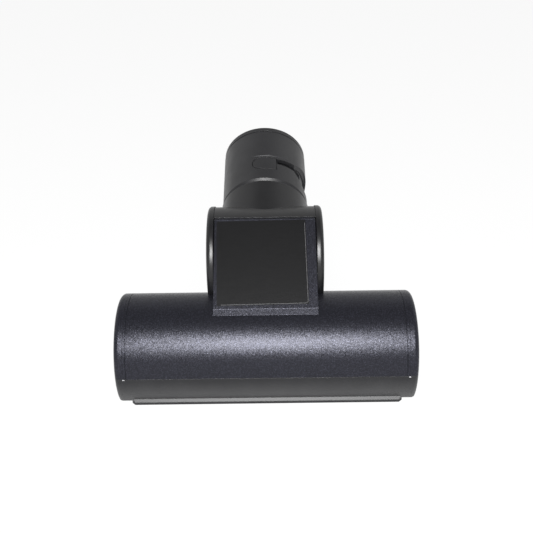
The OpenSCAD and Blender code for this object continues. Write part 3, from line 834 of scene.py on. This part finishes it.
def light_room(scene, settings):
    """Pale walls at the back and sides, with a darker ceiling and front"""
    world = bpy.data.worlds.new("room")
    scene.world = world
    world.use_nodes = True
    tree = world.node_tree
    tree.nodes.clear()
    direction = tree.nodes.new("ShaderNodeTexCoord")
    parts = tree.nodes.new("ShaderNodeSeparateXYZ")
    tree.links.new(direction.outputs["Generated"], parts.inputs["Vector"])
    skirting = ramp(tree, parts.outputs["Z"], SKIRTING_BAND, 1.0, 0.0)
    behind = ramp(tree, parts.outputs["Y"], WALL_BACK_BAND, 0.0, 1.0)
    wall_top = ramp(tree, parts.outputs["Z"], WALL_TOP_BAND, 1.0, 0.0)
    walls = combine(tree, "MULTIPLY", behind, wall_top)
    pale = combine(tree, "MAXIMUM", skirting, walls)
    strength = ramp(tree, pale, (0.0, 1.0), settings.ceiling_light, settings.room_light)
    light = tree.nodes.new("ShaderNodeBackground")
    tree.links.new(strength, light.inputs["Strength"])
    output = tree.nodes.new("ShaderNodeOutputWorld")
    tree.links.new(light.outputs["Background"], output.inputs["Surface"])


def ramp(tree, value, band, first, last):
    """Runs smoothly from one value to another across a band"""
    made = tree.nodes.new("ShaderNodeMapRange")
    made.interpolation_type = "SMOOTHSTEP"
    for name, number in zip(("From Min", "From Max", "To Min", "To Max"), (*band, first, last)):
        made.inputs[name].default_value = number
    tree.links.new(value, made.inputs["Value"])
    return made.outputs["Result"]


def combine(tree, operation, first, second):
    """Joins two values by one operation"""
    made = tree.nodes.new("ShaderNodeMath")
    made.operation = operation
    tree.links.new(first, made.inputs[0])
    tree.links.new(second, made.inputs[1])
    return made.outputs[0]


def hang_lamp(scene, name, distance, size, power):
    """One rectangular soft lamp high in front of the brush, turned towards it"""
    lamp = bpy.data.lights.new(name, "AREA")
    lamp.shape = "RECTANGLE"
    lamp.size, lamp.size_y = size
    lamp.energy = power
    holder = bpy.data.objects.new(name, lamp)
    ahead = Vector((0.0, -math.cos(LAMP_ELEVATION), math.sin(LAMP_ELEVATION)))
    spot = LAMP_AIM + distance * ahead
    holder.location = spot
    holder.rotation_euler = (LAMP_AIM - spot).to_track_quat("-Z", "Y").to_euler()
    scene.collection.objects.link(holder)


def hang_lamps(scene, settings):
    """The soft key lamp with its brighter middle"""
    hang_lamp(scene, "key_lamp", KEY_DISTANCE, KEY_SIZE, settings.key_power)
    hang_lamp(scene, "key_core", CORE_DISTANCE, CORE_SIZE, settings.core_power)


def place_camera(scene, settings):
    """Camera at the photograph's height and angle"""
    lens = bpy.data.cameras.new("camera")
    lens.sensor_fit = "HORIZONTAL"
    lens.sensor_width = 36.0
    lens.lens = settings.lens
    lens.clip_start = 0.01
    lens.clip_end = 50.0
    camera = bpy.data.objects.new("camera", lens)
    level = math.cos(CAMERA_PITCH)
    ahead = Vector((
        math.sin(CAMERA_YAW) * level, math.cos(CAMERA_YAW) * level, -math.sin(CAMERA_PITCH)))
    right = Vector((math.cos(CAMERA_YAW), -math.sin(CAMERA_YAW), 0.0))
    down = ahead.cross(right)
    rolled_right = right * math.cos(CAMERA_ROLL) + down * math.sin(CAMERA_ROLL)
    rolled_down = down * math.cos(CAMERA_ROLL) - right * math.sin(CAMERA_ROLL)
    turn = Matrix((rolled_right, -rolled_down, -ahead)).transposed()
    camera.matrix_world = Matrix.Translation(CAMERA_PLACE) @ turn.to_4x4()
    scene.collection.objects.link(camera)
    scene.camera = camera


class TURBO_PT_sidebar(bpy.types.Panel):
    """Lists the steps that dress the brush"""

    bl_label = "Turbo Brush"
    bl_idname = "TURBO_PT_sidebar"
    bl_space_type = "VIEW_3D"
    bl_region_type = "UI"
    bl_category = "Turbo Brush"

    def draw(self, context):
        layout = self.layout
        for operator in OPERATORS:
            layout.operator(operator.bl_idname)
        for group in ("turbo_finish", "turbo_bristles", "turbo_trim", "turbo_stage"):
            box = layout.box()
            settings = getattr(context.scene, group)
            for name in settings.__annotations__:
                box.prop(settings, name)


SETTINGS = {
    "turbo_finish": FinishSettings,
    "turbo_bristles": BristleSettings,
    "turbo_trim": TrimSettings,
    "turbo_stage": StageSettings,
}
OPERATORS = (
    TURBO_OT_paint_hood,
    TURBO_OT_finish_housing,
    TURBO_OT_finish_connector,
    TURBO_OT_finish_label,
    TURBO_OT_finish_drive,
    TURBO_OT_plant_bristles,
    TURBO_OT_add_catches,
    TURBO_OT_add_slot_brow,
    TURBO_OT_set_stage,
)


def register():
    """Makes the settings, the steps and the sidebar known to Blender"""
    for group in SETTINGS.values():
        bpy.utils.register_class(group)
    for name, group in SETTINGS.items():
        setattr(bpy.types.Scene, name, PointerProperty(type=group))
    for operator in OPERATORS:
        bpy.utils.register_class(operator)
    bpy.utils.register_class(TURBO_PT_sidebar)


def unregister():
    """Takes them away again"""
    bpy.utils.unregister_class(TURBO_PT_sidebar)
    for operator in reversed(OPERATORS):
        bpy.utils.unregister_class(operator)
    for name in SETTINGS:
        delattr(bpy.types.Scene, name)
    for group in reversed(SETTINGS.values()):
        bpy.utils.unregister_class(group)


def main():
    """Dresses the brush step by step"""
    register()
    bpy.ops.turbo.paint_hood()
    bpy.ops.turbo.finish_housing()
    bpy.ops.turbo.finish_connector()
    bpy.ops.turbo.finish_label()
    bpy.ops.turbo.finish_drive()
    bpy.ops.turbo.plant_bristles()
    bpy.ops.turbo.add_catches()
    bpy.ops.turbo.add_slot_brow()
    bpy.ops.turbo.set_stage()


if __name__ == "__main__":
    main()
